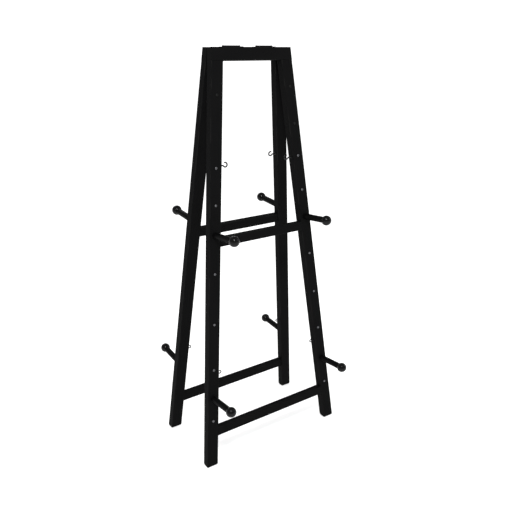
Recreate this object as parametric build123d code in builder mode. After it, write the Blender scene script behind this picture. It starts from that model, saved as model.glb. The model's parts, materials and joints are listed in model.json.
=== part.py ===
"""Folding A-frame gear stand: two ladder frames hinged together at the top.

Each frame is two splayed legs with a top, a mid and a low rail, dowelled and
glued. Ball-ended pegs stand out of the legs' outer faces, and small cup hooks
out of their inner sides. Lengths are in mm. The floor is z = 0, the origin is
under the middle of the stand, X runs along the rails and the front is -Y.
"""

import os
from math import acos, atan, cos, degrees, radians, sin, sqrt, tan

from build123d import *

os.makedirs("parts", exist_ok=True)

# ---- stance ---------------------------------------------------------------
HINGE_AXIS_Z = 1604.0  # hinge pins above the floor
TILT = 5.2  # lean of each frame, degrees from upright
FRAME_LENGTH = 1607.0  # along a frame, from its top edge to the floor
LEG_CENTRE_TOP = 148.0  # half the spread of a frame's legs at its top edge
LEG_CENTRE_FOOT = 307.0  # the same at the floor
TOP_DROP = 4.2  # from the hinge axis down to the frames' top edge
INNER_GAP = 0.3  # from the hinge's middle plane to a frame's inner face

# ---- painted timber -------------------------------------------------------
LEG_WIDTH = 48.0
LEG_DEPTH = 32.0
TOP_RAIL_HEIGHT = 46.0
RAIL_HEIGHT = 35.0
RAIL_DEPTH = 28.0
MID_RAIL_DROP = 695.0  # rail centres, down from the frame's top edge
LOW_RAIL_DROP = 1466.0
EDGE_RADIUS = 1.5

# ---- dowels ---------------------------------------------------------------
DOWEL_RADIUS = 4.0
DOWEL_CHAMFER = 0.8
GLUE_GAP = 0.05
RAIL_DOWEL_LENGTH = 40.0
RAIL_DOWEL_PITCH = 15.0
POST_DOWEL_LENGTH = 50.0
POST_DOWEL_PITCH = 22.0

# ---- pegs -----------------------------------------------------------------
# The holes were set out leg by leg, so the heights differ by a few millimetres.
# A frame's left and right are as seen from its own outer side.
PEG_DROPS = {("front", "left"): {"upper": 666.0, "lower": 1316.0},
             ("front", "right"): {"upper": 658.0, "lower": 1308.0},
             ("back", "left"): {"upper": 649.0, "lower": 1294.0},
             ("back", "right"): {"upper": 647.0, "lower": 1293.0}}
PEG_RADIUS = 12.5
PEG_EASING = 0.6
PEG_REACH = 133.0  # leg face to ball centre
BALL_RADIUS = 20.0
TENON_RADIUS = 6.0
TENON_LENGTH = 14.0
STUD_RADIUS = 2.5
STUD_IN_INSERT = 12.0
STUD_IN_PEG = 30.0

# ---- threaded inserts, and the button-head screws that close the spare ones --
SPARE_DROPS = {"left": (162.0, 418.0, 554.0, 813.0, 1012.0, 1197.0, 1412.0),
               "right": (143.0, 282.0, 408.0, 545.0, 817.0, 989.0, 1160.0, 1427.0)}
INSERT_RADIUS = 4.75
INSERT_LENGTH = 13.0
INSERT_HOLE_DEPTH = 22.0
THREAD_GAP = 0.05
BUTTON_RADIUS = 5.25
BUTTON_HEIGHT = 3.3
BUTTON_FLAT_RADIUS = 2.6
BUTTON_CROWN = 0.9  # how far the head's arc bulges beyond its chord
BUTTON_SHANK = 12.0
HEX_SOCKET_RADIUS = 2.0
HEX_SOCKET_DEPTH = 1.8

# ---- cup hooks ------------------------------------------------------------
HOOK_DROPS = {"upper": 412.0, "lower": 1221.0}
HOOK_WIRE = {"upper": 2.6, "lower": 2.0}  # wire radius
HOOK_LOOP = {"upper": 8.4, "lower": 5.4}  # loop radius, at the wire's centre
HOOK_LOOP_OUT = {"upper": 23.3, "lower": 12.5}  # loop centre, out from the leg
HOOK_LOOP_UP = {"upper": 3.3, "lower": 2.0}  # loop centre, above the shank
HOOK_NECK = {"upper": 4.0, "lower": 2.5}  # radius of the bend into the loop
HOOK_FLANGE = {"upper": 5.6, "lower": 4.0}
HOOK_FLANGE_THICKNESS = 2.0
HOOK_TIP_ANGLE = 105.0  # where the loop ends, degrees up from straight out
HOOK_SHANK_LENGTH = 16.0
HOOK_POINT_LENGTH = 4.0

# ---- hinges ---------------------------------------------------------------
HINGE_CENTRES = {"left": -72.0, "right": 72.0}
LEAF_LENGTH = 74.0
LEAF_WIDTH = 26.0
LEAF_THICKNESS = 2.0
LEAF_CORNER_RADIUS = 3.0
BARREL_RADIUS = 4.0
BARREL_LENGTH = 60.0
KNUCKLES = 5
KNUCKLE_GAP = 0.2
NOTCH_CLEARANCE = 0.6
PIN_RADIUS = 2.0
PIN_CLEARANCE = 0.06  # in the turning leaf's knuckles
PIN_HEAD_RADIUS = 2.8
PIN_HEAD_LENGTH = 1.2
STOP_LENGTH = 4.5  # ears at a leaf's ends, which meet when the stand is open
STOP_THICKNESS = 3.2
STOP_CLEARANCE = 0.02
HINGE_SCREW_SPOTS = ((-25.0, 12.0), (0.0, 19.0), (25.0, 12.0))

# ---- countersunk screws ---------------------------------------------------
SCREW_RADIUS = 1.5
SCREW_HEAD_RADIUS = 3.2
SCREW_HEAD_HEIGHT = 1.7
SCREW_POINT_LENGTH = 3.0
SCREW_GAP = 0.03
HINGE_SCREW_LENGTH = 16.0
FOOT_SCREW_LENGTH = 20.0
CROSS_SLOT_LENGTH = 3.4
CROSS_SLOT_WIDTH = 0.8
CROSS_SLOT_DEPTH = 1.0

# ---- foot pads ------------------------------------------------------------
PAD_THICKNESS = 4.0
PAD_WIDTH = 47.0
PAD_DEPTH = 31.0
PAD_CORNER_RADIUS = 4.0
PAD_EDGE_RADIUS = 1.2
PAD_SCREW_RECESS = 1.0

SPLAY_SLOPE = (LEG_CENTRE_FOOT - LEG_CENTRE_TOP) / FRAME_LENGTH
SPLAY_COS = cos(atan(SPLAY_SLOPE))
SPLAY_SIN = sin(atan(SPLAY_SLOPE))
LEG_HALF_ACROSS = LEG_WIDTH / 2 / SPLAY_COS
OUTER_FACE = INNER_GAP + LEG_DEPTH
LEG_MIDDLE = INNER_GAP + LEG_DEPTH / 2
LEAN_COS = cos(radians(TILT))
LEAN_SIN = sin(radians(TILT))

# A frame's plane has its origin on the hinge axis, y up the frame and z outward,
# so the two frames are alike, each seen from its own outer side.
FRAMES = {"front": Plane((0, 0, HINGE_AXIS_Z), x_dir=(1, 0, 0), z_dir=(0, -LEAN_COS, LEAN_SIN)),
          "back": Plane((0, 0, HINGE_AXIS_Z), x_dir=(-1, 0, 0), z_dir=(0, LEAN_COS, LEAN_SIN))}
SIDES = {"left": -1, "right": 1}  # of a frame, seen from its own outer side


def node_side(end, side):
    """A side's name seen from the stand's front, for naming a piece."""
    swap = {"left": "right", "right": "left"}
    return swap[side] if end == "back" else side


def finish(builder, node):
    builder.part.label = node
    export_step(builder.part, f"parts/{node}.step")


def leg_centre(drop):
    return LEG_CENTRE_TOP + SPLAY_SLOPE * drop


def leg_inner_side(drop):
    return leg_centre(drop) - LEG_HALF_ACROSS


def spot(frame, x, drop, out, facing, across=None):
    """Plane at a place on a frame, with its z and x directions in the frame's axes."""
    def turned(direction):
        x_part, y_part, z_part = direction
        return frame.x_dir * x_part + frame.y_dir * y_part + frame.z_dir * z_part

    origin = frame.from_local_coords((x, -TOP_DROP - drop, out))
    return Plane(origin, x_dir=turned(across) if across else None, z_dir=turned(facing))


def lathe(place, outline, mode=Mode.ADD):
    """Turn a closed (radius, height) outline about a plane's z axis."""
    with BuildSketch(Plane(place.origin, x_dir=place.x_dir, z_dir=-place.y_dir)) as profile:
        with BuildLine():
            Polyline(*outline, close=True)
        make_face()
    revolve(profile.sketch, Axis(place.origin, place.z_dir), mode=mode)


# ---- places shared by the pieces that meet there --------------------------
def rail_dowel_spots(frame, hand, drop):
    """Middles of the two dowels between a leg and a rail's end."""
    out = OUTER_FACE - RAIL_DEPTH / 2
    drops = (drop - RAIL_DOWEL_PITCH / 2, drop + RAIL_DOWEL_PITCH / 2)
    return [spot(frame, hand * leg_inner_side(d), d, out, (1, 0, 0)) for d in drops]


def post_dowel_spots(frame, hand):
    """Middles of the two dowels between a leg's upper end and the top rail."""
    centre = hand * leg_centre(TOP_RAIL_HEIGHT)
    shifts = (-POST_DOWEL_PITCH / 2, POST_DOWEL_PITCH / 2)
    return [spot(frame, centre + s, TOP_RAIL_HEIGHT, LEG_MIDDLE, (0, 1, 0)) for s in shifts]


def insert_spots(frame, hand, drops):
    """Mouths of the inserts down the middle of a leg's outer face."""
    return [spot(frame, hand * leg_centre(d), d, OUTER_FACE, (0, 0, 1)) for d in drops]


def hook_spot(frame, hand, level):
    """Where a cup hook's shank enters a leg's inner side, facing out of the wood."""
    drop = HOOK_DROPS[level]
    facing = (-hand * SPLAY_COS, -SPLAY_SIN, 0)
    up_the_leg = (-hand * SPLAY_SIN, SPLAY_COS, 0)
    side = hand * leg_inner_side(drop)
    return spot(frame, side, drop, LEG_MIDDLE, facing, up_the_leg)


def hinge_screw_spots(frame, centre):
    drop = -LEAF_THICKNESS
    return [spot(frame, centre + x, drop, out, (0, 1, 0)) for x, out in HINGE_SCREW_SPOTS]


def pad_centre(frame, hand):
    """Middle of a leg's cut end, on top of its foot pad."""
    rise = PAD_THICKNESS - HINGE_AXIS_Z - LEG_MIDDLE * LEAN_SIN
    drop = -rise / LEAN_COS - TOP_DROP
    return frame.from_local_coords((hand * leg_centre(drop), -TOP_DROP - drop, LEG_MIDDLE))


def foot_screw_spot(frame, hand):
    centre = pad_centre(frame, hand)
    return Plane((centre.X, centre.Y, PAD_SCREW_RECESS), z_dir=(0, 0, -1))


def countersunk(length, gap=0.0):
    """Half outline of a countersunk screw, from its head's flat top downwards."""
    radius = SCREW_RADIUS + gap
    head = SCREW_HEAD_RADIUS + gap
    return [(0, 0), (head, 0), (radius, -SCREW_HEAD_HEIGHT), (radius, -length + SCREW_POINT_LENGTH),
            (0, -length - gap)]


def cut_dowel_holes(spots, length):
    with Locations(*spots):
        Cylinder(DOWEL_RADIUS + GLUE_GAP, length, mode=Mode.SUBTRACT)


# ---- timber ---------------------------------------------------------------
def make_leg(end, side):
    frame = FRAMES[end]
    hand = SIDES[side]
    low_end = FRAME_LENGTH + LEG_DEPTH
    corners = [(hand * (leg_centre(drop) + across), -TOP_DROP - drop)
               for drop, across in ((TOP_RAIL_HEIGHT, -LEG_HALF_ACROSS), (TOP_RAIL_HEIGHT, LEG_HALF_ACROSS),
                                    (low_end, LEG_HALF_ACROSS), (low_end, -LEG_HALF_ACROSS))]
    with BuildPart() as leg:
        with BuildSketch(frame.offset(INNER_GAP)):
            with BuildLine():
                Polyline(*corners, close=True)
            make_face()
        extrude(amount=LEG_DEPTH)
        long_edges = leg.edges().filter_by(lambda edge: edge.length > FRAME_LENGTH / 2)
        fillet(long_edges, EDGE_RADIUS)
        split(bisect_by=Plane.XY.offset(PAD_THICKNESS), keep=Keep.TOP)
        cut_dowel_holes(post_dowel_spots(frame, hand), POST_DOWEL_LENGTH)
        for drop in (MID_RAIL_DROP, LOW_RAIL_DROP):
            cut_dowel_holes(rail_dowel_spots(frame, hand, drop), RAIL_DOWEL_LENGTH)
        with Locations(*insert_spots(frame, hand, (*SPARE_DROPS[side], *PEG_DROPS[end, side].values()))):
            Hole(INSERT_RADIUS + THREAD_GAP, INSERT_HOLE_DEPTH)
        for level, wire in HOOK_WIRE.items():
            with Locations(hook_spot(frame, hand, level)):
                Hole(wire + THREAD_GAP, HOOK_SHANK_LENGTH)
        lathe(foot_screw_spot(frame, hand), countersunk(FOOT_SCREW_LENGTH, SCREW_GAP), Mode.SUBTRACT)
    finish(leg, f"{end}_{node_side(end, side)}_leg")


def make_top_rail(end):
    """The top rail caps both legs, and its sloped ends are flush with their sides."""
    frame = FRAMES[end]
    corners = [(hand * (leg_centre(drop) + LEG_HALF_ACROSS), -TOP_DROP - drop)
               for hand, drop in ((-1, 0), (1, 0), (1, TOP_RAIL_HEIGHT), (-1, TOP_RAIL_HEIGHT))]
    with BuildPart() as rail:
        with BuildSketch(frame.offset(INNER_GAP)):
            with BuildLine():
                Polyline(*corners, close=True)
            make_face()
        extrude(amount=LEG_DEPTH)
        fillet(rail.edges().filter_by(Axis.X), EDGE_RADIUS)
        for hand in SIDES.values():
            cut_dowel_holes(post_dowel_spots(frame, hand), POST_DOWEL_LENGTH)
        for centre in HINGE_CENTRES.values():
            for place in hinge_screw_spots(frame, centre):
                lathe(place, countersunk(HINGE_SCREW_LENGTH, SCREW_GAP), Mode.SUBTRACT)
    finish(rail, f"{end}_top_rail")


def make_rail(end, level, centre_drop):
    """A rail between the legs, its outer face flush with theirs."""
    frame = FRAMES[end]
    top = centre_drop - RAIL_HEIGHT / 2
    foot = centre_drop + RAIL_HEIGHT / 2
    corners = [(hand * leg_inner_side(drop), -TOP_DROP - drop)
               for hand, drop in ((-1, top), (1, top), (1, foot), (-1, foot))]
    with BuildPart() as rail:
        with BuildSketch(frame.offset(OUTER_FACE - RAIL_DEPTH)):
            with BuildLine():
                Polyline(*corners, close=True)
            make_face()
        extrude(amount=RAIL_DEPTH)
        fillet(rail.edges().filter_by(Axis.X), EDGE_RADIUS)
        for hand in SIDES.values():
            cut_dowel_holes(rail_dowel_spots(frame, hand, centre_drop), RAIL_DOWEL_LENGTH)
    finish(rail, f"{end}_{level}_rail")


def make_dowels(end):
    frame = FRAMES[end]
    joints = []
    for hand in SIDES.values():
        joints += [(place, POST_DOWEL_LENGTH) for place in post_dowel_spots(frame, hand)]
        for drop in (MID_RAIL_DROP, LOW_RAIL_DROP):
            joints += [(place, RAIL_DOWEL_LENGTH) for place in rail_dowel_spots(frame, hand, drop)]
    inner = DOWEL_RADIUS - DOWEL_CHAMFER
    with BuildPart() as dowels:
        for place, length in joints:
            half = length / 2
            lathe(place, [(0, -half), (inner, -half), (DOWEL_RADIUS, DOWEL_CHAMFER - half),
                          (DOWEL_RADIUS, half - DOWEL_CHAMFER), (inner, half), (0, half)])
    finish(dowels, f"{end}_dowels")


# ---- pegs -----------------------------------------------------------------
def make_peg(end, side, level):
    """A round peg with a tenon at its tip, and the turned ball glued on it."""
    frame = FRAMES[end]
    drop = PEG_DROPS[end, side][level]
    x = SIDES[side] * leg_centre(drop)
    shoulder = PEG_REACH - sqrt(BALL_RADIUS**2 - PEG_RADIUS**2)
    tip = shoulder + TENON_LENGTH
    eased = PEG_RADIUS - PEG_EASING
    node = f"{end}_{node_side(end, side)}_{level}"
    with BuildPart() as peg:
        lathe(spot(frame, x, drop, OUTER_FACE, (0, 0, 1)),
              [(0, 0), (eased, 0), (PEG_RADIUS, PEG_EASING), (PEG_RADIUS, shoulder), (TENON_RADIUS, shoulder),
               (TENON_RADIUS, tip - PEG_EASING), (TENON_RADIUS - PEG_EASING, tip), (0, tip)])
        with Locations(spot(frame, x, drop, OUTER_FACE, (0, 0, -1))):
            Hole(STUD_RADIUS + THREAD_GAP, STUD_IN_PEG)
    finish(peg, f"{node}_peg")

    flat = spot(frame, x, drop, OUTER_FACE + shoulder, (0, 0, -1))
    with BuildPart() as ball:
        with Locations(spot(frame, x, drop, OUTER_FACE + PEG_REACH, (0, 0, -1))):
            Sphere(BALL_RADIUS)
        split(bisect_by=flat, keep=Keep.BOTTOM)
        with Locations(flat):
            Hole(TENON_RADIUS + GLUE_GAP, TENON_LENGTH)
    finish(ball, f"{node}_ball")


def make_peg_hardware(end):
    """Studs that join the pegs to their inserts, and every insert of a frame."""
    frame = FRAMES[end]
    with BuildPart() as studs:
        for side, hand in SIDES.items():
            for place in insert_spots(frame, hand, PEG_DROPS[end, side].values()):
                lathe(place, [(0, -STUD_IN_INSERT), (STUD_RADIUS, -STUD_IN_INSERT),
                              (STUD_RADIUS, STUD_IN_PEG), (0, STUD_IN_PEG)])
    finish(studs, f"{end}_peg_studs")

    bore = STUD_RADIUS + THREAD_GAP
    with BuildPart() as inserts:
        for side, hand in SIDES.items():
            for place in insert_spots(frame, hand, (*SPARE_DROPS[side], *PEG_DROPS[end, side].values())):
                lathe(place, [(bore, 0), (INSERT_RADIUS, 0), (INSERT_RADIUS, -INSERT_LENGTH),
                              (bore, -INSERT_LENGTH)])
    finish(inserts, f"{end}_threaded_inserts")


def make_button_screws(end):
    """Button-head socket screws in the spare inserts of a frame."""
    frame = FRAMES[end]
    with BuildPart() as screws:
        for side, hand in SIDES.items():
            for place in insert_spots(frame, hand, SPARE_DROPS[side]):
                with BuildSketch(Plane(place.origin, x_dir=place.x_dir, z_dir=-place.y_dir)):
                    with BuildLine():
                        Polyline((BUTTON_FLAT_RADIUS, BUTTON_HEIGHT), (0, BUTTON_HEIGHT), (0, -BUTTON_SHANK),
                                 (STUD_RADIUS, -BUTTON_SHANK), (STUD_RADIUS, 0), (BUTTON_RADIUS, 0))
                        SagittaArc((BUTTON_RADIUS, 0), (BUTTON_FLAT_RADIUS, BUTTON_HEIGHT), BUTTON_CROWN)
                    make_face()
                revolve(axis=Axis(place.origin, place.z_dir))
                with BuildSketch(place.offset(BUTTON_HEIGHT)):
                    RegularPolygon(HEX_SOCKET_RADIUS, 6)
                extrude(amount=-HEX_SOCKET_DEPTH, mode=Mode.SUBTRACT)
    finish(screws, f"{end}_button_screws")


# ---- cup hooks ------------------------------------------------------------
def make_cup_hook(end, side, level):
    """A wire hook: pointed shank in the wood, flange, neck and an open loop."""
    place = hook_spot(FRAMES[end], SIDES[side], level)
    wire = HOOK_WIRE[level]
    loop = HOOK_LOOP[level]
    loop_out = HOOK_LOOP_OUT[level]
    loop_up = HOOK_LOOP_UP[level]
    neck = HOOK_NECK[level]
    flange = HOOK_FLANGE[level]
    # The neck turns down until it is tangent to the loop.
    dip = degrees(acos((neck + loop_up) / (loop + neck)))
    neck_start = loop_out - (loop + neck) * sin(radians(dip))
    side_view = Plane(place.origin, x_dir=place.z_dir, z_dir=place.z_dir.cross(place.x_dir))
    with BuildPart() as hook:
        with BuildLine(side_view) as route:
            Line((0, 0), (neck_start, 0))
            CenterArc((neck_start, -neck), neck, 90, -dip)
            CenterArc((loop_out, loop_up), loop, -90 - dip, HOOK_TIP_ANGLE + 90 + dip)
        with BuildSketch(Plane(place.origin, z_dir=place.z_dir)):
            Circle(wire)
        sweep()
        with Locations(route.line @ 1):
            Sphere(wire)
        lathe(place, [(0, 0), (flange, 0), (flange, HOOK_FLANGE_THICKNESS / 2),
                      (wire, HOOK_FLANGE_THICKNESS), (0, HOOK_FLANGE_THICKNESS)])
        lathe(place, [(0, 0), (wire, 0), (wire, HOOK_POINT_LENGTH - HOOK_SHANK_LENGTH),
                      (0, -HOOK_SHANK_LENGTH)])
    finish(hook, f"{end}_{node_side(end, side)}_{level}_hook")


# ---- hinges ---------------------------------------------------------------
def hinge_section(end, side):
    """Cross-section plane through a hinge: x outward over the leaf, y up."""
    frame = FRAMES[end]
    centre = HINGE_CENTRES[side] * frame.x_dir.X
    return Plane(frame.from_local_coords((centre, 0, 0)), x_dir=frame.z_dir, z_dir=-frame.x_dir)


def make_hinge_leaf(end, side):
    """Leaf on the top rail, with its share of the knuckles and two stop ears."""
    section = hinge_section(end, side)
    first_knuckle = 0 if end == "front" else 1
    bore = PIN_RADIUS if end == "front" else PIN_RADIUS + PIN_CLEARANCE
    pitch = BARREL_LENGTH / KNUCKLES
    starts = [index * pitch - BARREL_LENGTH / 2 for index in range(KNUCKLES)]
    ear_start = LEAF_LENGTH / 2 - STOP_LENGTH
    end_gap = ear_start - BARREL_LENGTH / 2
    # Where the leaf is cut back: at the other leaf's knuckles and at the pin's heads.
    notches = [(start, pitch) for start in starts[1 - first_knuckle::2]]
    notches += [(-ear_start, end_gap), (BARREL_LENGTH / 2, end_gap)]
    notch_depth = BARREL_RADIUS + NOTCH_CLEARANCE
    plate_width = LEAF_WIDTH - STOP_CLEARANCE
    plate_middle = (STOP_CLEARANCE + plate_width / 2, LEAF_THICKNESS / 2 - TOP_DROP)
    ear_lean = BARREL_RADIUS * tan(radians(TILT))
    with BuildPart() as leaf:
        with BuildSketch(section.offset(-LEAF_LENGTH / 2)):
            with Locations(plate_middle):
                Rectangle(plate_width, LEAF_THICKNESS)
        extrude(amount=LEAF_LENGTH)
        upright_edges = leaf.edges().filter_by(Axis((0, 0, 0), section.y_dir))
        outer_corners = upright_edges.group_by(Axis((0, 0, 0), section.x_dir))[-1]
        fillet(outer_corners, LEAF_CORNER_RADIUS)
        for start, length in notches:
            with BuildSketch(section.offset(start)):
                with Locations((notch_depth / 2, -TOP_DROP)):
                    Rectangle(notch_depth, TOP_DROP * 2)
            extrude(amount=length, mode=Mode.SUBTRACT)
        for start in starts[first_knuckle::2]:
            with BuildSketch(section.offset(start + KNUCKLE_GAP / 2)):
                Circle(BARREL_RADIUS)
            extrude(amount=pitch - KNUCKLE_GAP)
        with BuildSketch(section.offset(-BARREL_LENGTH / 2)):
            Circle(bore)
        extrude(amount=BARREL_LENGTH, mode=Mode.SUBTRACT)
        for start in (-LEAF_LENGTH / 2, ear_start):
            with BuildSketch(section.offset(start)):
                with BuildLine():
                    Polyline((STOP_CLEARANCE, -TOP_DROP), (STOP_CLEARANCE, 0),
                             (STOP_CLEARANCE + ear_lean, BARREL_RADIUS), (STOP_THICKNESS, BARREL_RADIUS),
                             (STOP_THICKNESS, -TOP_DROP), close=True)
                make_face()
            extrude(amount=STOP_LENGTH)
        for place in hinge_screw_spots(FRAMES[end], HINGE_CENTRES[side] * FRAMES[end].x_dir.X):
            lathe(place, countersunk(HINGE_SCREW_LENGTH, SCREW_GAP), Mode.SUBTRACT)
    finish(leaf, f"{end}_{side}_hinge_leaf")


def make_hinge_pin(side):
    half = BARREL_LENGTH / 2
    tip = half + PIN_HEAD_LENGTH
    middle = Plane((HINGE_CENTRES[side], 0, HINGE_AXIS_Z), z_dir=(1, 0, 0))
    with BuildPart() as pin:
        lathe(middle, [(0, -tip), (PIN_HEAD_RADIUS, -tip), (PIN_HEAD_RADIUS, -half), (PIN_RADIUS, -half),
                       (PIN_RADIUS, half), (PIN_HEAD_RADIUS, half), (PIN_HEAD_RADIUS, tip), (0, tip)])
    finish(pin, f"{side}_hinge_pin")


# ---- countersunk screws ---------------------------------------------------
def make_screws(places, length, node):
    """Countersunk wood screws with a cross slot, one solid each."""
    with BuildPart() as screws:
        for place in places:
            lathe(place, countersunk(length))
            with Locations(place):
                for turn in (0, 90):
                    Box(CROSS_SLOT_LENGTH, CROSS_SLOT_WIDTH, CROSS_SLOT_DEPTH * 2, rotation=(0, 0, turn),
                        mode=Mode.SUBTRACT)
    finish(screws, node)


# ---- foot pads ------------------------------------------------------------
def make_foot_pad(end, side):
    """Rubber pad under a leg, with a sunk hole for its screw."""
    frame = FRAMES[end]
    centre = pad_centre(frame, SIDES[side])
    with BuildPart() as pad:
        with BuildSketch(Plane((centre.X, centre.Y, 0))):
            RectangleRounded(PAD_WIDTH, PAD_DEPTH, PAD_CORNER_RADIUS)
        extrude(amount=PAD_THICKNESS)
        fillet(pad.edges().group_by(Axis.Z)[0], PAD_EDGE_RADIUS)
        place = foot_screw_spot(frame, SIDES[side])
        lathe(place, countersunk(FOOT_SCREW_LENGTH, SCREW_GAP), Mode.SUBTRACT)
        with Locations(place):
            Cylinder(SCREW_HEAD_RADIUS + SCREW_GAP, PAD_SCREW_RECESS, mode=Mode.SUBTRACT,
                     align=(Align.CENTER, Align.CENTER, Align.MIN))
    finish(pad, f"{end}_{node_side(end, side)}_foot_pad")


for end in FRAMES:
    for side in SIDES:
        make_leg(end, side)
        make_foot_pad(end, side)
        make_hinge_leaf(end, side)
        for level in HOOK_DROPS:
            make_peg(end, side, level)
            make_cup_hook(end, side, level)
    make_top_rail(end)
    make_rail(end, "mid", MID_RAIL_DROP)
    make_rail(end, "low", LOW_RAIL_DROP)
    make_dowels(end)
    make_peg_hardware(end)
    make_button_screws(end)
    hinge_places = [place for centre in HINGE_CENTRES.values()
                    for place in hinge_screw_spots(FRAMES[end], centre)]
    make_screws(hinge_places, HINGE_SCREW_LENGTH, f"{end}_hinge_screws")
    foot_places = [foot_screw_spot(FRAMES[end], hand) for hand in SIDES.values()]
    make_screws(foot_places, FOOT_SCREW_LENGTH, f"{end}_foot_screws")

for side in HINGE_CENTRES:
    make_hinge_pin(side)
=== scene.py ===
"""Finished look of a folding A-frame gear stand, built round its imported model.

Two black ladder frames are hinged together at the top. Lengths are in metres,
the feet stand on z = 0, the rails run along X and the front is -Y.
"""

import json
from math import acos, asin, atan, cos, pi, radians, sin, sqrt

import bmesh
import bpy
from mathutils import Matrix, Vector


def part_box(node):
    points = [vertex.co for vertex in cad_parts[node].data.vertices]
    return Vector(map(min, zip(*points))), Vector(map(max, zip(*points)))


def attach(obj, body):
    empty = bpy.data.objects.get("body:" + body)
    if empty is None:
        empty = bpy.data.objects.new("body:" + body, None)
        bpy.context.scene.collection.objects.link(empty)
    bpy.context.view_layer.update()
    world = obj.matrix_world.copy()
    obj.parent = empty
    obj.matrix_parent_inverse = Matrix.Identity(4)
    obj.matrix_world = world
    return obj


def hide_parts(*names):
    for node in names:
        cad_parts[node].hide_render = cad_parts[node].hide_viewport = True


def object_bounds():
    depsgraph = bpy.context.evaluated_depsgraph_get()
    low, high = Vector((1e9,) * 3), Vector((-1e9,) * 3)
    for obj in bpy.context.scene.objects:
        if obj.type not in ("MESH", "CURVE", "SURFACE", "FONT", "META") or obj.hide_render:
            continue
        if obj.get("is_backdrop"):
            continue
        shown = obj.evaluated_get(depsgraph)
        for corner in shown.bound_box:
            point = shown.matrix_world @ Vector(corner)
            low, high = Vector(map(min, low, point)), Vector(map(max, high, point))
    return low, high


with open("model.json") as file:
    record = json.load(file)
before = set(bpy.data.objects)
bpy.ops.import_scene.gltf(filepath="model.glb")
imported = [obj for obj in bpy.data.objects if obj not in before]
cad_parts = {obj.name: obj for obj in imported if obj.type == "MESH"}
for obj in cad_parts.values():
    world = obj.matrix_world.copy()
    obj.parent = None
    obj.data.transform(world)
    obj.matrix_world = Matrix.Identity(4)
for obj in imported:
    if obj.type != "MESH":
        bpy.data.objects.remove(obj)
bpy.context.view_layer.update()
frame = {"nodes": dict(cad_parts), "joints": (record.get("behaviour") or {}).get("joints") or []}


# ---- the two leaning frames -------------------------------------------------
# Front and back are alike, each measured from its own outer side: x runs across
# the frame, y up it and z outward, from the hinge axis. They lean apart by the
# whole range of the fold, half of it each.
fold = frame["joints"][0]
lean = radians(fold["range_deg"][1]) / 2
frame_turn = {"front": 0.0, "back": pi}
frame_axes = {
    end: Matrix.Translation(fold["pos_m"])
    @ Matrix.Rotation(turn, 4, "Z")
    @ Matrix.Rotation(pi / 2 - lean, 4, "X")
    for end, turn in frame_turn.items()
}


def solids_of(node):
    """Corner points of each separate solid in a CAD node."""
    weld_distance = 1e-6
    shell = bmesh.new()
    shell.from_mesh(frame["nodes"][node].data)
    bmesh.ops.remove_doubles(shell, verts=shell.verts, dist=weld_distance)
    solids = []
    for first in shell.verts:
        if first.tag:
            continue
        first.tag = True
        reached = [first]
        for vert in reached:
            for other in (edge.other_vert(vert) for edge in vert.link_edges):
                if not other.tag:
                    other.tag = True
                    reached.append(other)
        solids.append([vert.co.copy() for vert in reached])
    shell.free()
    return solids


def box_along(axes, points):
    """Lowest and highest corner of some points, measured along the given axes."""
    to_axes = axes.inverted()
    columns = list(zip(*(to_axes @ point for point in points)))
    return Vector(map(min, columns)), Vector(map(max, columns))


# ---- legs and rails ---------------------------------------------------------
# Planed softwood with eased edges, dowelled and glued, then brushed satin black.
# The grain and the brush marks run along each board and show faintly through the
# paint, and hands have rubbed the corners a little greyer.
half_spread_top = 0.148
half_spread_floor = 0.307
frame_length = 1.607
splay = atan((half_spread_floor - half_spread_top) / frame_length)
rubbed_strip = 0.0022
paint_black = (0.0026, 0.0026, 0.0027)
paint_faded = (0.0040, 0.0040, 0.0041)
rubbed_grey = (0.014, 0.0135, 0.013)
paint_gloss = 0.015


def add_node(tree, kind, inputs=(), **settings):
    """Adds a node, then links the inputs given as sockets and sets the others."""
    node = tree.nodes.new(kind)
    for name, value in settings.items():
        setattr(node, name, value)
    for key, value in dict(inputs).items():
        if isinstance(value, bpy.types.NodeSocket):
            tree.links.new(value, node.inputs[key])
        else:
            node.inputs[key].default_value = value
    return node


def new_finish(name):
    """A material without any nodes, ready for its own."""
    finish = bpy.data.materials.new(name)
    finish.use_nodes = True
    finish.node_tree.nodes.clear()
    return finish


def close_finish(finish, inputs):
    """Puts the surface shader and the output at the end of a material."""
    tree = finish.node_tree
    surface = add_node(tree, "ShaderNodeBsdfPrincipled", inputs)
    add_node(tree, "ShaderNodeOutputMaterial", {"Surface": surface.outputs["BSDF"]})
    return finish


def mix_value(tree, factor, low, high):
    """A number that runs from low to high as factor runs from 0 to 1."""
    node = add_node(tree, "ShaderNodeMapRange", {"Value": factor, "To Min": low, "To Max": high})
    return node.outputs["Result"]


def mix_colour(tree, factor, low, high):
    """A colour that runs from low to high as factor runs from 0 to 1."""
    first_colour, second_colour, mixed_colour = 6, 7, 2
    node = add_node(tree, "ShaderNodeMix", {"Factor": factor}, data_type="RGBA")
    for index, colour in ((first_colour, low), (second_colour, high)):
        socket = node.inputs[index]
        if isinstance(colour, bpy.types.NodeSocket):
            tree.links.new(colour, socket)
        else:
            socket.default_value = (*colour, 1)
    return node.outputs[mixed_colour]


def stretched_noise(tree, place, stretch, scale, detail=2.0):
    """Noise drawn out along x by making x count for less."""
    drawn = add_node(tree, "ShaderNodeVectorMath", {0: place, 1: (stretch, 1, 1)},
                     operation="MULTIPLY")
    noise = add_node(tree, "ShaderNodeTexNoise",
                     {"Vector": drawn.outputs["Vector"], "Scale": scale, "Detail": detail})
    return noise.outputs["Fac"]


def weighted_sum(tree, parts):
    """Adds up (socket, weight) pairs."""
    total = 0.0
    for socket, weight in parts:
        step = add_node(tree, "ShaderNodeMath", {0: socket, 1: weight, 2: total},
                        operation="MULTIPLY_ADD")
        total = step.outputs["Value"]
    return total


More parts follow.
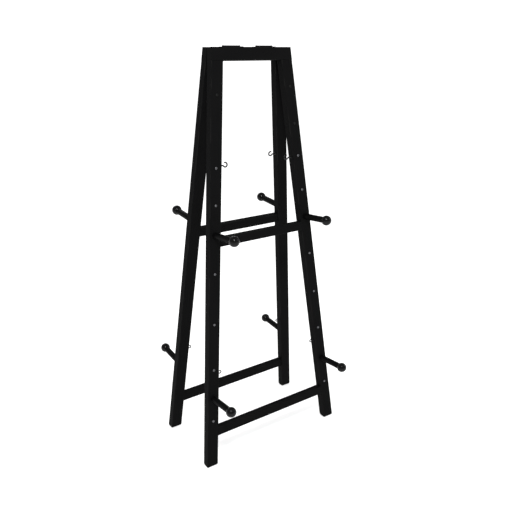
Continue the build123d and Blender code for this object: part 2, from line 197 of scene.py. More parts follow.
def painted_timber(name, axes, half_size):
    """Satin black paint on one board, whose axes run along, across and out of it."""
    finish = new_finish(name)
    tree = finish.node_tree
    to_board = axes.inverted()
    coordinates = add_node(tree, "ShaderNodeTexCoord")
    place = add_node(tree, "ShaderNodeMapping", {"Vector": coordinates.outputs["Object"],
                                                 "Location": to_board.translation,
                                                 "Rotation": to_board.to_euler()}).outputs["Vector"]
    fibres = stretched_noise(tree, place, stretch=0.03, scale=420)
    pores = stretched_noise(tree, place, stretch=0.05, scale=1500, detail=1)
    brush_marks = stretched_noise(tree, place, stretch=0.006, scale=700, detail=1)
    patches = stretched_noise(tree, place, stretch=0.5, scale=14, detail=3)
    open_pores = add_node(tree, "ShaderNodeMapRange",
                          {"Value": pores, "From Min": 0.36, "From Max": 0.46}).outputs["Result"]
    height = weighted_sum(tree, ((fibres, 0.45), (open_pores, 0.5), (brush_marks, 0.35)))
    relief = add_node(tree, "ShaderNodeBump",
                      {"Height": height, "Strength": 0.35, "Distance": 0.0002})

    # A corner is where both the width and the depth are nearly used up.
    sides = add_node(tree, "ShaderNodeSeparateXYZ", {"Vector": place})
    near_corner = 1.0
    for side, half in (("Y", half_size.y), ("Z", half_size.z)):
        out = add_node(tree, "ShaderNodeMath", {0: sides.outputs[side]}, operation="ABSOLUTE")
        near = add_node(tree, "ShaderNodeMapRange", {"Value": out.outputs["Value"],
                                                     "From Min": half - rubbed_strip,
                                                     "From Max": half})
        both = add_node(tree, "ShaderNodeMath", {0: near.outputs["Result"], 1: near_corner},
                        operation="MULTIPLY")
        near_corner = both.outputs["Value"]
    scuffs = stretched_noise(tree, place, stretch=0.3, scale=55, detail=4)
    worn = add_node(tree, "ShaderNodeMapRange",
                    {"Value": scuffs, "From Min": 0.45, "From Max": 0.7})
    rub = add_node(tree, "ShaderNodeMath", {0: near_corner, 1: worn.outputs["Result"]},
                   operation="MULTIPLY")

    paint = mix_colour(tree, patches, paint_black, paint_faded)
    colour = mix_colour(tree, rub.outputs["Value"], paint, rubbed_grey)
    dullness = weighted_sum(tree, ((patches, 0.7), (fibres, 0.3)))
    roughness = mix_value(tree, dullness, low=0.5, high=0.66)
    return close_finish(finish, {"Base Color": colour, "Roughness": roughness,
                                 "Specular IOR Level": paint_gloss,
                                 "Normal": relief.outputs["Normal"]})


for end in frame_turn:
    for board in ("left_leg", "right_leg", "top_rail", "mid_rail", "low_rail"):
        node = frame["nodes"][f"{end}_{board}"]
        corners = [vert.co for vert in node.data.vertices]
        low, high = box_along(frame_axes[end], corners)
        hand = 1 if low.x + high.x > 0 else -1
        grain_turn = hand * splay - pi / 2 if board.endswith("leg") else 0.0
        board_axes = frame_axes[end] @ Matrix.Rotation(grain_turn, 4, "Z")
        low, high = box_along(board_axes, corners)
        middle_axes = board_axes @ Matrix.Translation((low + high) / 2)
        finish = painted_timber(f"satin_black_{end}_{board}", middle_axes, (high - low) / 2)
        node.data.materials[0] = finish


# ---- dowels -----------------------------------------------------------------
# Plain beech dowels, left bare. Two are glued into each joint of a rail and a leg,
# where they're hidden.
beech_dark = (0.47, 0.29, 0.15)
beech_light = (0.66, 0.45, 0.26)


def bare_beech():
    """Bare wood: a long figure in its colour and short flecks in its relief."""
    finish = new_finish("bare_beech")
    tree = finish.node_tree
    place = add_node(tree, "ShaderNodeTexCoord").outputs["Object"]
    flecks = stretched_noise(tree, place, stretch=0.15, scale=900)
    figure = stretched_noise(tree, place, stretch=0.1, scale=120, detail=3)
    colour = mix_colour(tree, figure, beech_dark, beech_light)
    relief = add_node(tree, "ShaderNodeBump",
                      {"Height": flecks, "Strength": 0.4, "Distance": 0.0002})
    roughness = mix_value(tree, flecks, low=0.55, high=0.75)
    return close_finish(finish, {"Base Color": colour, "Roughness": roughness,
                                 "Normal": relief.outputs["Normal"]})


beech = bare_beech()
for end in frame_turn:
    frame["nodes"][f"{end}_dowels"].data.materials[0] = beech


# ---- pegs and their balls ---------------------------------------------------
# Turned hardwood pegs in satin black, each with a gloss black ball glued on its
# tenon. A stud in the peg's foot screws it to the leg, and the gloss paint has
# settled in a small cove where the ball meets the peg.
stud_bore = 0.00255
stud_depth = 0.030
peg_easing = 0.0008
ball_reach = 0.133
tenon_radius = 0.006
tenon_length = 0.014
glue_gap = 0.00005
paint_cove = 0.0014
lathe_mark = 0.0005
lathe_sides = 64
easing_steps = 5
cove_steps = 6
ball_steps = 40
lacquer_black = (0.0018, 0.0018, 0.0019)
lacquer_faded = (0.0028, 0.0028, 0.0029)


def arc(centre, radius, start, stop, steps):
    """Points (radius, height) along an arc, its angles in degrees from the radius."""
    angles = [radians(start + (stop - start) * step / steps) for step in range(steps + 1)]
    return [(centre[0] + radius * cos(a), centre[1] + radius * sin(a)) for a in angles]


def skin_mesh(name, rings, place=Matrix(), closed=False):
    """A closed mesh over rings of points, where a ring of one point is a pole."""
    shape = bmesh.new()
    sides = max(len(ring) for ring in rings)
    loops = []
    for ring in rings:
        verts = [shape.verts.new(point) for point in ring]
        loops.append(verts * sides if len(verts) == 1 else verts)
    followers = loops[1:] + loops[:1] if closed else loops[1:]
    for loop, follower in zip(loops, followers):
        for side in range(sides):
            beside = (side + 1) % sides
            corners = (loop[side], loop[beside], follower[beside], follower[side])
            shape.faces.new(dict.fromkeys(corners))
    bmesh.ops.recalc_face_normals(shape, faces=shape.faces)
    shape.transform(place)
    mesh = bpy.data.meshes.new(name)
    shape.to_mesh(mesh)
    shape.free()
    return mesh


def lathe_mesh(name, outline, sides, place=Matrix()):
    """Turns about z a (radius, height) outline that ends on the axis or meets itself."""
    angles = [2 * pi * side / sides for side in range(sides)]
    rings = [[(radius * cos(a), radius * sin(a), height) for a in (angles if radius else [0])]
             for radius, height in outline]
    return skin_mesh(name, rings, place, closed=outline[0][0] > 0)


def add_piece(name, mesh, finish=None, sharp_above=35):
    """A smooth-shaded object in the scene, creased where its faces meet steeply."""
    mesh.shade_smooth()
    mesh.set_sharp_from_angle(angle=radians(sharp_above))
    if finish:
        mesh.materials.clear()
        mesh.materials.append(finish)
    piece = bpy.data.objects.new(name, mesh)
    bpy.context.scene.collection.objects.link(piece)
    return piece


def sprayed_black(name, axes, gloss, shine):
    """Sprayed paint: a slight orange peel over the lathe's fine rings.

    Its gloss is a specular level, and its shine the lowest and highest roughness.
    """
    finish = new_finish(name)
    tree = finish.node_tree
    to_peg = axes.inverted()
    coordinates = add_node(tree, "ShaderNodeTexCoord")
    place = add_node(tree, "ShaderNodeMapping", {"Vector": coordinates.outputs["Object"],
                                                 "Location": to_peg.translation,
                                                 "Rotation": to_peg.to_euler()}).outputs["Vector"]
    orange_peel = add_node(tree, "ShaderNodeTexNoise", {"Vector": place, "Scale": 450, "Detail": 1})
    squeezed = add_node(tree, "ShaderNodeVectorMath", {0: place, 1: (0, 0, 1)},
                        operation="MULTIPLY")
    rings = add_node(tree, "ShaderNodeTexNoise",
                     {"Vector": squeezed.outputs["Vector"], "Scale": 1400, "Detail": 1})
    cloud = add_node(tree, "ShaderNodeTexNoise", {"Vector": place, "Scale": 60, "Detail": 2})
    height = weighted_sum(tree, ((orange_peel.outputs["Fac"], 0.7), (rings.outputs["Fac"], 0.3)))
    relief = add_node(tree, "ShaderNodeBump",
                      {"Height": height, "Strength": 0.12, "Distance": 0.0002})
    colour = mix_colour(tree, cloud.outputs["Fac"], lacquer_black, lacquer_faded)
    roughness = mix_value(tree, cloud.outputs["Fac"], *shine)
    return close_finish(finish, {"Base Color": colour, "Roughness": roughness,
                                 "Specular IOR Level": gloss,
                                 "Normal": relief.outputs["Normal"]})


def peg_outline(radius, shoulder):
    """Half outline of a peg from its foot, with the stud's bore and the tenon."""
    tip = shoulder + tenon_length
    ease = peg_easing
    return [(0, stud_depth), (stud_bore, stud_depth), (stud_bore, 0),
            *arc((radius - ease, ease), ease, -90, 0, easing_steps),
            *arc((radius - ease, shoulder - ease), ease, 0, 90, easing_steps),
            (tenon_radius, shoulder),
            *arc((tenon_radius - ease, tip - ease), ease, 0, 90, easing_steps), (0, tip)]


def ball_outline(peg_radius, ball_radius, shoulder):
    """Half outline of a ball round its middle, from the end of the tenon's hole."""
    hole = tenon_radius + glue_gap
    flat = shoulder - ball_reach
    cove_radius = peg_radius + paint_cove
    cove_height = -sqrt((ball_radius + paint_cove)**2 - cove_radius**2)
    meeting = acos(cove_radius / (ball_radius + paint_cove)) * 180 / pi
    pole = asin(lathe_mark / ball_radius) * 180 / pi
    return [(0, flat + tenon_length), (hole, flat + tenon_length), (hole, flat), (peg_radius, flat),
            *arc((cove_radius, cove_height), paint_cove, 180, 180 - meeting, cove_steps),
            *arc((0, 0), ball_radius, 1 - meeting, 90 - pole, ball_steps),
            (0, ball_radius - lathe_mark / 4)]


for end in frame_turn:
    for side in ("left", "right"):
        for level in ("upper", "lower"):
            peg_node = f"{end}_{side}_{level}_peg"
            ball_node = f"{end}_{side}_{level}_ball"
            corners = [vert.co for vert in frame["nodes"][peg_node].data.vertices]
            low, high = box_along(frame_axes[end], corners)
            peg_radius = (high.x - low.x) / 2
            foot = Vector(((low.x + high.x) / 2, (low.y + high.y) / 2, low.z))
            shoulder = high.z - low.z - tenon_length
            corners = [vert.co for vert in frame["nodes"][ball_node].data.vertices]
            low, high = box_along(frame_axes[end], corners)
            ball_radius = (high.x - low.x) / 2
            peg_axes = frame_axes[end] @ Matrix.Translation(foot)
            ball_axes = peg_axes @ Matrix.Translation((0, 0, ball_reach))
            satin = sprayed_black(f"satin_black_{peg_node}", peg_axes,
                                  gloss=0.03, shine=(0.40, 0.55))
            gloss = sprayed_black(f"gloss_black_{ball_node}", peg_axes,
                                  gloss=0.15, shine=(0.08, 0.16))
            peg_mesh = lathe_mesh(peg_node, peg_outline(peg_radius, shoulder), lathe_sides, peg_axes)
            ball_mesh = lathe_mesh(ball_node, ball_outline(peg_radius, ball_radius, shoulder),
                                   lathe_sides, ball_axes)
            for node, mesh, finish in ((peg_node, peg_mesh, satin), (ball_node, ball_mesh, gloss)):
                piece = add_piece(f"turned_{node}", mesh, finish)
                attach(piece, f"{end}_frame")
                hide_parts(node)


# ---- screws -----------------------------------------------------------------
# Plated steel, with rolled threads. Button heads close the spare inserts, and the
# top ones were painted over with the legs. Small countersunk screws hold the hinge
# leaves, and longer ones the foot pads.
def plated_steel(name, dark, light, shine):
    """Plated metal with a faint drawn texture; shine is its lowest and highest roughness."""
    finish = new_finish(name)
    tree = finish.node_tree
    place = add_node(tree, "ShaderNodeTexCoord").outputs["Object"]
    cloud = add_node(tree, "ShaderNodeTexNoise", {"Vector": place, "Scale": 260, "Detail": 3})
    scratches = stretched_noise(tree, place, stretch=0.08, scale=2600, detail=1)
    colour = mix_colour(tree, cloud.outputs["Fac"], dark, light)
    roughness = mix_value(tree, cloud.outputs["Fac"], *shine)
    relief = add_node(tree, "ShaderNodeBump",
                      {"Height": scratches, "Strength": 0.15, "Distance": 0.00005})
    return close_finish(finish, {"Base Color": colour, "Metallic": 1.0, "Roughness": roughness,
                                 "Normal": relief.outputs["Normal"]})


def painted_above(finish, height):
    """Covers the part of a finish that lies above a height with black paint."""
    thin_black = (0.006, 0.006, 0.006)
    thin_gloss = 0.1
    tree = finish.node_tree
    surface = next(node for node in tree.nodes if node.type == "BSDF_PRINCIPLED")
    place = add_node(tree, "ShaderNodeTexCoord").outputs["Object"]
    rise = add_node(tree, "ShaderNodeSeparateXYZ", {"Vector": place}).outputs["Z"]
    covered = add_node(tree, "ShaderNodeMath", {0: rise, 1: height},
                       operation="GREATER_THAN").outputs["Value"]
    metal = surface.inputs["Base Color"].links[0].from_socket
    tree.links.new(mix_colour(tree, covered, metal, thin_black), surface.inputs["Base Color"])
    tree.links.new(mix_value(tree, covered, 1.0, 0.0), surface.inputs["Metallic"])
    surface.inputs["Specular IOR Level"].default_value = thin_gloss
    return finish


def screw_tree():
    """Geometry Nodes: one screw from its sizes, set on every point with a random turn."""
    core_sides = 24
    thread_sides = 4
    thread_steps = 20
    highest_float, random_float = 3, 1
    tree = bpy.data.node_groups.new("screws_on_points", "GeometryNodeTree")
    sockets = {}
    for name, kind in (("Points", "Geometry"), ("Head", "Object"), ("Recess", "Object"),
                       ("Recessed", "Bool"), ("Facing", "Rotation"), ("Core radius", "Float"),
                       ("Core length", "Float"), ("Point length", "Float"), ("Tip radius", "Float"),
                       ("Thread pitch", "Float"), ("Thread height", "Float"),
                       ("Random turn", "Float"), ("Seed", "Int"), ("Finish", "Material")):
        sockets[name] = tree.interface.new_socket(name, in_out="INPUT",
                                                  socket_type=f"NodeSocket{kind}")
    tree.interface.new_socket("Screws", in_out="OUTPUT", socket_type="NodeSocketGeometry")
    given = add_node(tree, "NodeGroupInput").outputs

    head = add_node(tree, "GeometryNodeObjectInfo", {"Object": given["Head"]}).outputs["Geometry"]
    recess = add_node(tree, "GeometryNodeObjectInfo",
                      {"Object": given["Recess"]}).outputs["Geometry"]
    cut_head = add_node(tree, "GeometryNodeMeshBoolean", {"Mesh 1": head, "Mesh 2": recess},
                        operation="DIFFERENCE").outputs["Mesh"]
    top = add_node(tree, "GeometryNodeSwitch",
                   {"Switch": given["Recessed"], "False": head, "True": cut_head},
                   input_type="GEOMETRY").outputs["Output"]

    def lowered(mesh, depth):
        """The mesh, moved down into the wood by a depth."""
        down = add_node(tree, "ShaderNodeMath", {0: depth, 1: -1.0}, operation="MULTIPLY")
        shift = add_node(tree, "ShaderNodeCombineXYZ", {"Z": down.outputs["Value"]})
        moved = add_node(tree, "GeometryNodeTransform",
                         {"Geometry": mesh, "Translation": shift.outputs["Vector"]})
        return moved.outputs[0]

    half_core = add_node(tree, "ShaderNodeMath", {0: given["Core length"], 1: 0.5},
                         operation="MULTIPLY")
    core = add_node(tree, "GeometryNodeMeshCylinder",
                    {"Vertices": core_sides, "Radius": given["Core radius"],
                     "Depth": given["Core length"]})
    core_low = lowered(core.outputs["Mesh"], half_core.outputs["Value"])

    whole = add_node(tree, "ShaderNodeMath", {0: given["Core length"], 1: given["Point length"]},
                     operation="ADD")
    point = add_node(tree, "GeometryNodeMeshCone",
                     {"Vertices": core_sides, "Radius Top": given["Core radius"],
                      "Radius Bottom": given["Tip radius"], "Depth": given["Point length"]})
    point_low = lowered(point.outputs["Mesh"], whole.outputs["Value"])

    turns = add_node(tree, "ShaderNodeMath", {0: given["Core length"], 1: given["Thread pitch"]},
                     operation="DIVIDE")
    helix = add_node(tree, "GeometryNodeCurveSpiral",
                     {"Resolution": thread_steps, "Rotations": turns.outputs["Value"],
                      "Start Radius": given["Core radius"], "End Radius": given["Core radius"],
                      "Height": given["Core length"]})
    ridge = add_node(tree, "GeometryNodeCurvePrimitiveCircle",
                     {"Resolution": thread_sides, "Radius": given["Thread height"]})
    thread = add_node(tree, "GeometryNodeCurveToMesh",
                      {"Curve": helix.outputs[0], "Profile Curve": ridge.outputs[0],
                       "Fill Caps": True})
    thread_low = lowered(thread.outputs["Mesh"], given["Core length"])

    screw = add_node(tree, "GeometryNodeJoinGeometry")
    for part in (thread_low, point_low, core_low, top):
        tree.links.new(part, screw.inputs[0])
    placed = add_node(tree, "GeometryNodeInstanceOnPoints",
                      {"Points": given["Points"], "Instance": screw.outputs[0],
                       "Rotation": given["Facing"]})
    spin = add_node(tree, "FunctionNodeRandomValue",
                    {highest_float: given["Random turn"], "Seed": given["Seed"]},
                    data_type="FLOAT")
    turn = add_node(tree, "ShaderNodeCombineXYZ", {"Z": spin.outputs[random_float]})
    turned = add_node(tree, "GeometryNodeRotateInstances",
                      {"Instances": placed.outputs[0], "Rotation": turn.outputs["Vector"],
                       "Local Space": True})
    real = add_node(tree, "GeometryNodeRealizeInstances", {"Geometry": turned.outputs[0]})
    finished = add_node(tree, "GeometryNodeSetMaterial",
                        {"Geometry": real.outputs[0], "Material": given["Finish"]})
    add_node(tree, "NodeGroupOutput", {"Screws": finished.outputs[0]})
    return tree, sockets


def grow(name, points, tree, sockets, **values):
    """Runs a tree on a set of points and keeps the result as a plain mesh piece."""
    sharp_above = 28
    mesh = bpy.data.meshes.new(f"{name}_points")
    mesh.from_pydata(points, [], [])
    piece = bpy.data.objects.new(name, mesh)
    bpy.context.scene.collection.objects.link(piece)
    modifier = piece.modifiers.new("grow", "NODES")
    modifier.node_group = tree
    for socket_name, value in values.items():
        modifier[sockets[socket_name.replace("_", " ")].identifier] = value
    bpy.context.view_layer.update()
    ready = piece.evaluated_get(bpy.context.evaluated_depsgraph_get())
    grown = bpy.data.meshes.new_from_object(ready)
    piece.modifiers.clear()
    piece.data = grown
    grown.shade_smooth()
    grown.set_sharp_from_angle(angle=radians(sharp_above))
    return piece


def prism_mesh(name, corners, top, bottom, taper=1.0):
    """A straight or tapered prism on an outline of (x, y) corners, for a recess."""
    shape = bmesh.new()
    upper = [shape.verts.new((x, y, top)) for x, y in corners]
    lower = [shape.verts.new((x * taper, y * taper, bottom)) for x, y in corners]
    shape.faces.new(upper)
    shape.faces.new(reversed(lower))
    for index, corner in enumerate(upper):
        beside = (index + 1) % len(upper)
        shape.faces.new((corner, lower[index], lower[beside], upper[beside]))
    bmesh.ops.recalc_face_normals(shape, faces=shape.faces)
    mesh = bpy.data.meshes.new(name)
    shape.to_mesh(mesh)
    shape.free()
    return mesh


def seats_of(node, axes, head_height):
    """The middle of the underside of each screw's head, which faces along the axes' z."""
    seats = []
    for points in solids_of(node):
        low, high = box_along(axes, points)
        middle = (low + high) / 2
        seats.append(axes @ Vector((middle.x, middle.y, high.z - head_height)))
    return seats


def set_screws(name, node, facing_axes, body, head_height, slot, **sizes):
    """One piece with a screw on every place where the CAD node has one."""
    piece = grow(name, seats_of(node, facing_axes, head_height), *fastener_tree,
                 Facing=facing_axes.to_euler(), Recessed=True, Random_turn=2 * pi, **sizes)
    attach(piece, body)
    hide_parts(node)
    return piece


fastener_tree = screw_tree()
dull_look = (0.10, 0.10, 0.105), (0.17, 0.17, 0.18), (0.30, 0.46)
dull_zinc = plated_steel("dull_zinc", *dull_look)

button_radius = 0.00525
button_height = 0.0033
button_flat = 0.0026
button_rim = 0.0004
# Steps in from the rim, and their heights.
button_dome = ((0.0003, 0.0014), (0.0010, 0.0024), (0.0018, 0.0030))
head_sides = 40
hex_radius = 0.0020
hex_depth = 0.0018
painted_height = 1.26
button_zinc = painted_above(plated_steel("part_painted_zinc", *dull_look), painted_height)
button_outline = [(0, 0), (button_radius - button_rim, 0), (button_radius, button_rim),
                  *((button_radius - inset, height) for inset, height in button_dome),
                  (button_flat, button_height), (0, button_height)]
button_head = add_piece("button_head", lathe_mesh("button_head", button_outline, head_sides))
hex_corners = [(hex_radius * cos(k * pi / 3), hex_radius * sin(k * pi / 3)) for k in range(6)]
hex_recess = add_piece("hex_recess", prism_mesh("hex_recess", hex_corners,
                                                button_height + hex_depth,
                                                button_height - hex_depth))
for end in frame_turn:
    set_screws(f"{end}_spare_hole_screws", f"{end}_button_screws", frame_axes[end],
               f"{end}_frame", button_height, "zinc_steel", Head=button_head, Recess=hex_recess,
               Core_radius=0.0021, Core_length=0.0112, Point_length=0.0008, Tip_radius=0.0015,
               Thread_pitch=0.0010, Thread_height=0.0004, Seed=7, Finish=button_zinc)

countersunk_radius = 0.0032
countersunk_neck = 0.0015
countersunk_depth = 0.0017
countersunk_land = 0.00025
countersunk_easing = 0.0001
slot_reach = 0.0017
slot_half_width = 0.0004
slot_depth = 0.0010
slot_taper = 0.7
countersunk_outline = [(0, -countersunk_depth), (countersunk_neck, -countersunk_depth),
                       (countersunk_radius, -countersunk_land),
                       (countersunk_radius, -countersunk_easing),
                       (countersunk_radius - countersunk_easing, 0), (0, 0)]
countersunk_head = add_piece("countersunk_head",
                             lathe_mesh("countersunk_head", countersunk_outline, head_sides))
arm_corners = ((slot_reach, -slot_half_width), (slot_reach, slot_half_width),
               (slot_half_width, slot_half_width))
cross_corners = [Matrix.Rotation(quarter * pi / 2, 2) @ Vector(corner) for quarter in range(4)
                 for corner in arm_corners]
cross_recess = add_piece("cross_recess", prism_mesh("cross_recess", cross_corners, slot_depth,
                                                    -slot_depth, slot_taper))
black_zinc = plated_steel("black_zinc", (0.035, 0.035, 0.037), (0.07, 0.07, 0.072), (0.3, 0.45))
wood_screw = {"Head": countersunk_head, "Recess": cross_recess, "Core_radius": 0.0011,
              "Point_length": 0.003, "Tip_radius": 0.0, "Thread_pitch": 0.0012,
              "Thread_height": 0.0004}
for end in frame_turn:
    upward = frame_axes[end] @ Matrix.Rotation(-pi / 2, 4, "X")
    set_screws(f"{end}_leaf_screws", f"{end}_hinge_screws", upward, f"{end}_frame",
               head_height=0.0, slot="hinge_steel", **wood_screw, Core_length=0.013, Seed=3,
               Finish=black_zinc)
    downward = Matrix.Rotation(pi, 4, "X")
    set_screws(f"{end}_pad_screws", f"{end}_foot_screws", downward, f"{end}_frame",
               head_height=0.0, slot="zinc_steel", **wood_screw, Core_length=0.017, Seed=5,
               Finish=dull_zinc)
    for hidden in ("threaded_inserts", "peg_studs"):
        frame["nodes"][f"{end}_{hidden}"].data.materials[0] = dull_zinc
for pattern in (button_head, hex_recess, countersunk_head, cross_recess):
    bpy.data.objects.remove(pattern)


# ---- cup hooks --------------------------------------------------------------
# Blackened steel wire: a threaded shank screwed into the leg's inner side, a
# pressed flange that stops it there, a neck and an open loop with a rounded tip.
# The upper hook of each leg is the larger.
hook_shank = 0.016
hook_point = 0.004
hook_tip_angle = 105
hook_core_share = 0.75
hook_thread_share = 0.25
flange_thickness = 0.002
flange_sides = 32
# The pressed flange's two bends: how far out, in flange or wire radii, and how
# high, in heights of its rim.
flange_crown = (0.85, 2.6)
flange_throat = (1.15, 3.8)
# Per level: radii of the wire, loop, neck bend and flange, and the loop centre's
# distance out of the leg and up from the shank.
hook_sizes = {"upper": (0.0026, 0.0084, 0.0040, 0.0056, 0.0233, 0.0033),
              "lower": (0.0020, 0.0054, 0.0025, 0.0040, 0.0125, 0.0020)}


def loop_rings(wire, loop, neck, loop_out, loop_up):
    """Rings of points along the hook's wire, whose z runs out of the leg and x up it."""
    sides = 16
    neck_steps = 6
    loop_steps = 40
    tip_steps = 4
    dip = acos((neck + loop_up) / (loop + neck))
    neck_start = loop_out - (loop + neck) * sin(dip)
    down = dip * 180 / pi
    path = [(0, 0), *arc((neck_start, -neck), neck, 90, 90 - down, neck_steps),
            *arc((loop_out, loop_up), loop, -90 - down, hook_tip_angle, loop_steps)[1:]]
    route = [Vector((up, 0, out)) for out, up in path]
    rings = [[route[0]]]
    for index, middle in enumerate(route):
        ahead = (route[min(index + 1, len(route) - 1)] - route[max(index - 1, 0)]).normalized()
        beside = ahead.cross((0, 1, 0))
        angles = [2 * pi * side / sides for side in range(sides)]
        around = [cos(a) * beside + sin(a) * Vector((0, 1, 0)) for a in angles]
        rings.append([middle + wire * way for way in around])
    for step in range(1, tip_steps):
        bend = pi / 2 * step / tip_steps
        rings.append([route[-1] + wire * (sin(bend) * ahead + cos(bend) * way) for way in around])
    rings.append([route[-1] + wire * ahead])
    return rings


def joined_mesh(name, meshes):
    """One mesh that holds several, each left where it is."""
    whole = bmesh.new()
    for mesh in meshes:
        whole.from_mesh(mesh)
    mesh = bpy.data.meshes.new(name)
    whole.to_mesh(mesh)
    whole.free()
    return mesh


black_wire = plated_steel("black_wire", (0.012, 0.012, 0.013), (0.026, 0.026, 0.027),
                          (0.28, 0.42))
for level, (wire, loop, neck, flange, loop_out, loop_up) in hook_sizes.items():
    rim = flange_thickness / 4
    flange_outline = [(0, 0), (flange - rim / 2, 0), (flange, rim / 2), (flange, rim),
                      (flange_crown[0] * flange, flange_crown[1] * rim),
                      (flange_throat[0] * wire, flange_throat[1] * rim),
                      (0, flange_thickness)]
    head_meshes = [skin_mesh("loop", loop_rings(wire, loop, neck, loop_out, loop_up)),
                   lathe_mesh("flange", flange_outline, flange_sides)]
    hook_head = add_piece("hook_head", joined_mesh("hook_head", head_meshes))
    for end in frame_turn:
        for side in ("left", "right"):
            node = f"{end}_{side}_{level}_hook"
            corners = [vert.co for vert in frame["nodes"][node].data.vertices]
            low, high = box_along(frame_axes[end], corners)
            hand = 1 if low.x + high.x > 0 else -1
            up_leg = (-hand * sin(splay), cos(splay), 0)
            out_of_leg = (-hand * cos(splay), -sin(splay), 0)
            hook_turn = Matrix((up_leg, (0, 0, -hand), out_of_leg)).transposed().to_4x4()
            hook_axes = frame_axes[end] @ hook_turn
            low, high = box_along(hook_axes, corners)
            entry = hook_axes @ Vector((high.x - loop_up - loop - wire, (low.y + high.y) / 2,
                                        low.z + hook_shank))
            piece = grow(f"{end}_{side}_{level}_cup_hook", [entry], *fastener_tree, Head=hook_head,
                         Facing=hook_axes.to_euler(), Core_radius=hook_core_share * wire,
                         Core_length=hook_shank - hook_point, Point_length=hook_point,
                         Tip_radius=0.0, Thread_pitch=wire, Thread_height=hook_thread_share * wire,
                         Finish=black_wire)
            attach(piece, f"{end}_frame")
            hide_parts(node)
    bpy.data.objects.remove(hook_head)


# ---- hinges -----------------------------------------------------------------
# Black powder-coated steel. Each hinge has two stamped leaves with slightly rounded
# edges, whose knuckles share a riveted pin. Ears at the leaves' ends meet when the
# stand is open.
stamped_edge = 0.0002
crease_angle = 25


def eased_mesh(name, source, width):
    """A copy of a CAD node's mesh with its sharp edges rounded."""
    weld_distance = 1e-6
    flat_angle = 0.5
    copy = bmesh.new()
    copy.from_mesh(source)
    bmesh.ops.remove_doubles(copy, verts=copy.verts, dist=weld_distance)
    bmesh.ops.dissolve_limit(copy, angle_limit=radians(flat_angle), verts=copy.verts,
                             edges=copy.edges)
    creased = [edge for edge in copy.edges if len(edge.link_faces) == 2
               and edge.calc_face_angle(0) > radians(crease_angle)]
    bmesh.ops.bevel(copy, geom=creased, offset=width, offset_type="OFFSET", segments=2,
                    profile=0.5, affect="EDGES", clamp_overlap=True)
    mesh = bpy.data.meshes.new(name)
    copy.to_mesh(mesh)
    copy.free()
    return mesh


black_coat = plated_steel("black_enamel", (0.010, 0.010, 0.011), (0.020, 0.020, 0.021),
                          (0.35, 0.5))
pin_radius = 0.002
pin_head_radius = 0.0028
pin_head_length = 0.0012
pin_sides = 32
rivet_steps = 6
for side in ("left", "right"):
    for end in frame_turn:
        node = f"{end}_{side}_hinge_leaf"
        leaf_mesh = eased_mesh(node, frame["nodes"][node].data, stamped_edge)
        piece = add_piece(f"{end}_{side}_stamped_leaf", leaf_mesh, black_coat, sharp_above=60)
        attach(piece, f"{end}_frame")
        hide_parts(node)
    node = f"{side}_hinge_pin"
    low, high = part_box(node)
    reach = (high.x - low.x) / 2
    dome = arc((pin_head_radius - pin_head_length, reach - pin_head_length), pin_head_length,
               0, 80, rivet_steps)
    half_outline = [(pin_radius, 0), (pin_radius, reach - pin_head_length),
                    (pin_head_radius, reach - pin_head_length), *dome[1:], (0, reach)]
    mirrored = [(radius, -height) for radius, height in reversed(half_outline[1:])]
    pin_outline = mirrored + half_outline
    pin_axes = Matrix.Translation((low + high) / 2) @ Matrix.Rotation(pi / 2, 4, "Y")
    pin_mesh = lathe_mesh(node, pin_outline, pin_sides, pin_axes)
    piece = add_piece(f"{side}_riveted_pin", pin_mesh, black_coat)
    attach(piece, "front_frame")
    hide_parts(node)


# ---- foot pads --------------------------------------------------------------
# Moulded black rubber, 4 mm thick, with a fine pebbled grain. A screw in a sunk hole
# holds one under each leg.
rubber_black = (0.007, 0.007, 0.007)
dust_grey = (0.014, 0.0135, 0.013)


def moulded_rubber():
    """Pebbled rubber with patches of dust."""
    finish = new_finish("moulded_rubber")
    tree = finish.node_tree
    place = add_node(tree, "ShaderNodeTexCoord").outputs["Object"]
    pebbles = add_node(tree, "ShaderNodeTexVoronoi", {"Vector": place, "Scale": 1100})
    noise = add_node(tree, "ShaderNodeTexNoise", {"Vector": place, "Scale": 90, "Detail": 4})
    dust = noise.outputs["Fac"]
    relief = add_node(tree, "ShaderNodeBump", {"Height": pebbles.outputs["Distance"],
                                               "Strength": 0.3, "Distance": 0.0002})
    colour = mix_colour(tree, dust, rubber_black, dust_grey)
    roughness = mix_value(tree, dust, low=0.65, high=0.85)
    return close_finish(finish, {"Base Color": colour, "Roughness": roughness,
                                 "Specular IOR Level": 0.12, "Normal": relief.outputs["Normal"]})


rubber = moulded_rubber()
for end in frame_turn:
    for side in ("left", "right"):
        frame["nodes"][f"{end}_{side}_foot_pad"].data.materials[0] = rubber


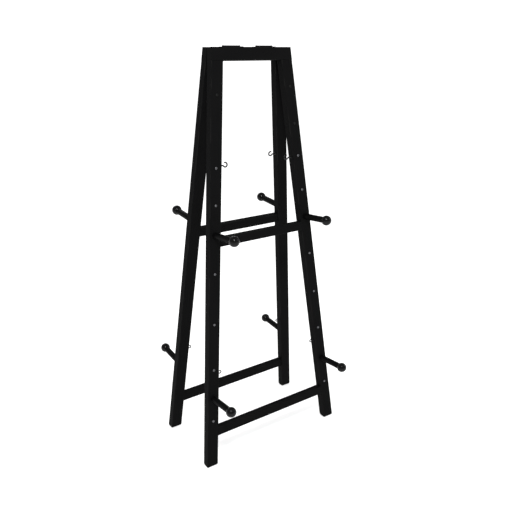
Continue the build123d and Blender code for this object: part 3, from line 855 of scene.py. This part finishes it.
# ---- floor, lights and camera -----------------------------------------------
# A plain white floor under a white sky. A small lamp high at the front left makes
# the highlights, and two large ones light the right side and the back.
floor_reach = 60.0
floor_mesh = bpy.data.meshes.new("floor")
floor_corners = [(x * floor_reach, y * floor_reach, 0)
                 for x, y in ((-1, -1), (1, -1), (1, 1), (-1, 1))]
floor_mesh.from_pydata(floor_corners, [], [(0, 1, 2, 3)])
floor = bpy.data.objects.new("floor", floor_mesh)
bpy.context.scene.collection.objects.link(floor)
white_floor = new_finish("white_floor")
close_finish(white_floor, {"Base Color": (0.9, 0.9, 0.9, 1), "Roughness": 0.8,
                           "Specular IOR Level": 0.1})
floor_mesh.materials.append(white_floor)
floor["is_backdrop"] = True

# The sky is dimmer to glossy rays, as the dark end of a studio is.
sky_strength = 1.4
sky_strength_in_gloss = 0.4
sky = bpy.data.worlds.new("white_sky")
sky.use_nodes = True
background = sky.node_tree.nodes["Background"]
background.inputs["Color"].default_value = (1, 1, 1, 1)
glossy = add_node(sky.node_tree, "ShaderNodeLightPath").outputs["Is Glossy Ray"]
strength = mix_value(sky.node_tree, glossy, sky_strength, sky_strength_in_gloss)
sky.node_tree.links.new(strength, background.inputs["Strength"])
bpy.context.scene.world = sky

# Each lamp's place, width and power in watts. All face the middle of the stand.
lamps = {"key": ((-1.15, -1.85, 3.1), 0.5, 70),
         "fill": ((3.4, -1.6, 2.4), 1.6, 15),
         "rear": ((0.5, 3.6, 2.8), 1.8, 15)}
stand_middle = Vector((0, 0, 0.8))
for name, (place, size, power) in lamps.items():
    lamp_data = bpy.data.lights.new(f"{name}_lamp", "AREA")
    lamp_data.size = size
    lamp_data.energy = power
    lamp = bpy.data.objects.new(f"{name}_lamp", lamp_data)
    lamp.location = place
    lamp.rotation_euler = (stand_middle - lamp.location).to_track_quat("-Z", "Y").to_euler()
    bpy.context.scene.collection.objects.link(lamp)

camera_data = bpy.data.cameras.new("camera")
camera_data.lens = 40.57
camera_data.sensor_width = 36.0
camera = bpy.data.objects.new("camera", camera_data)
camera_place = (-1.2369, -1.8804, 1.5735)
camera_heading = radians(-33.98)
camera_drop = radians(19.18)
camera_roll = radians(-0.35)
camera.matrix_world = (Matrix.Translation(camera_place)
                       @ Matrix.Rotation(camera_heading, 4, "Z")
                       @ Matrix.Rotation(pi / 2 - camera_drop, 4, "X")
                       @ Matrix.Rotation(camera_roll, 4, "Z"))
bpy.context.scene.collection.objects.link(camera)
bpy.context.scene.camera = camera
bpy.context.scene.view_settings.view_transform = "Standard"

low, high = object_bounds()
